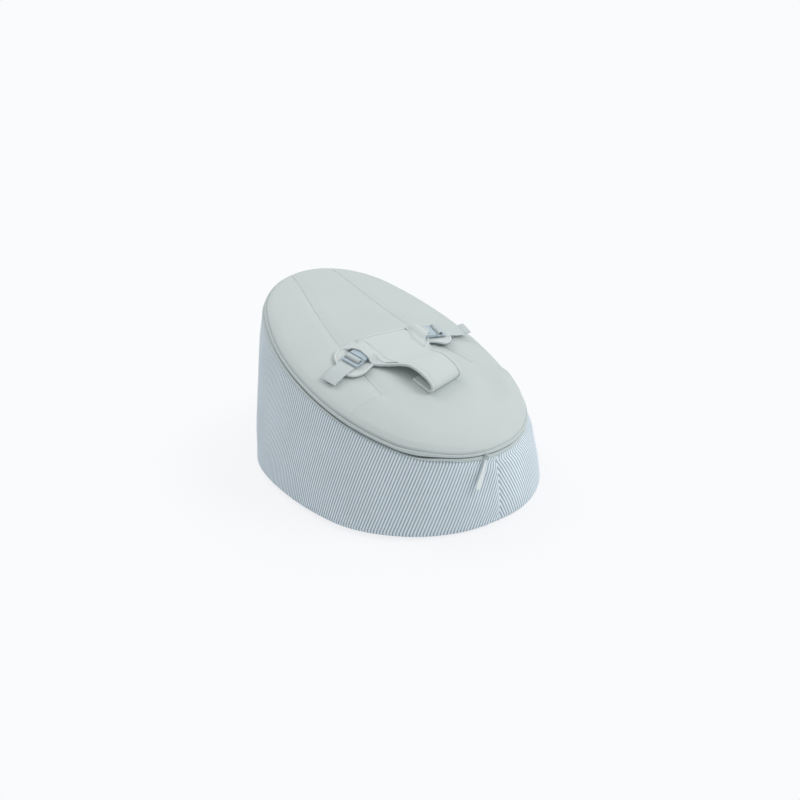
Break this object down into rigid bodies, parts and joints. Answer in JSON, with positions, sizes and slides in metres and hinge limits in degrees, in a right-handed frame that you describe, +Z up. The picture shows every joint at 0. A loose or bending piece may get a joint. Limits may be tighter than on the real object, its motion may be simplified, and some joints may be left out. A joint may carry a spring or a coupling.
{
  "type": "baby lounger",
  "caption": "Oval beanbag baby seat with a sloping padded top, zipped seat cover, T-shaped crotch harness and side release buckles on webbing.",
  "frame": {"origin": "floor level, under the middle of the whole part's bounding box", "axes": "+Z up, +Y toward the raised head end, -Y toward the low foot end with the zip slider, +X toward the right-hand side seen from the foot end"},
  "size_m": [0.492, 0.5965, 0.3246],
  "materials": {
    "seat_fabric": "smooth coated cloth",
    "side_fabric": "fine ribbed cord",
    "webbing": "woven webbing",
    "buckle_plastic": "moulded satin",
    "zip_plastic": "satin",
    "liner_fabric": "plain cloth",
    "beads": "expanded foam beads"
  },
  "bodies": {
    "base_bag": {"side_panel_left": "side_fabric", "side_panel_right": "side_fabric", "base_panel": "side_fabric", "rim_band_lower": "seat_fabric", "zip_tape_lower": "seat_fabric", "zip_teeth_lower": "zip_plastic", "inner_liner": "liner_fabric", "liner_zip": "liner_fabric", "bead_fill": "beads"},
    "seat_cover": {"top_panel_left": "seat_fabric", "top_panel_centre": "seat_fabric", "top_panel_right": "seat_fabric", "top_panel_front": "seat_fabric", "rim_band_upper": "seat_fabric", "zip_tape_upper": "seat_fabric", "zip_teeth_upper": "zip_plastic", "crotch_strap_base": "seat_fabric", "crotch_strap_fold": "seat_fabric", "load_strap_left": "webbing", "load_strap_right": "webbing"},
    "harness": {"harness_pad": "seat_fabric", "harness_binding_top": "seat_fabric", "harness_binding_left": "seat_fabric", "harness_binding_right": "seat_fabric", "arm_facing_left": "seat_fabric", "arm_facing_right": "seat_fabric", "buckle_guard_left": "seat_fabric", "buckle_guard_right": "seat_fabric", "guard_binding_left": "seat_fabric", "guard_binding_right": "seat_fabric", "buckle_socket_left": "buckle_plastic", "buckle_socket_right": "buckle_plastic"},
    "buckle_clip_left": {"buckle_clip_left": "buckle_plastic", "webbing_left": "webbing"},
    "buckle_clip_right": {"buckle_clip_right": "buckle_plastic", "webbing_right": "webbing"},
    "zip_slider": {"zip_slider": "zip_plastic"},
    "zip_pull": {"zip_pull_ring": "zip_plastic", "zip_pull_tab": "seat_fabric"}
  },
  "joints": [
    {"name": "seat_cover_lift", "type": "slide", "parent": "base_bag", "child": "seat_cover", "axis": [0, 0, 1], "range_m": [0, 0.12]},
    {"name": "harness_lift", "type": "hinge", "parent": "seat_cover", "child": "harness", "pos_m": [0.00592, -0.14075, 0.22037], "axis": [0.998, 0.0629, 0.0091], "range_deg": [0, 35], "deforming": ["crotch_strap_fold", "load_strap_left", "load_strap_right"]},
    {"name": "buckle_release_left", "type": "slide", "parent": "harness", "child": "buckle_clip_left", "axis": [-0.9561, -0.2356, -0.1744], "range_m": [0, 0.028], "deforming": ["load_strap_left"]},
    {"name": "buckle_release_right", "type": "slide", "parent": "harness", "child": "buckle_clip_right", "axis": [0.9836, -0.1202, -0.1348], "range_m": [0, 0.028], "deforming": ["load_strap_right"]},
    {"name": "zip_slider_travel", "type": "hinge", "parent": "base_bag", "child": "zip_slider", "pos_m": [0, -0.11951, 0.17134], "axis": [0, 0.2045, -0.9789], "range_deg": [-9, 31]},
    {"name": "zip_pull_swing", "type": "hinge", "parent": "zip_slider", "child": "zip_pull", "pos_m": [-0.02773, -0.28686, 0.13722], "axis": [-0.876, 0.1265, 0.4654], "range_deg": [0, 120]}
  ]
}
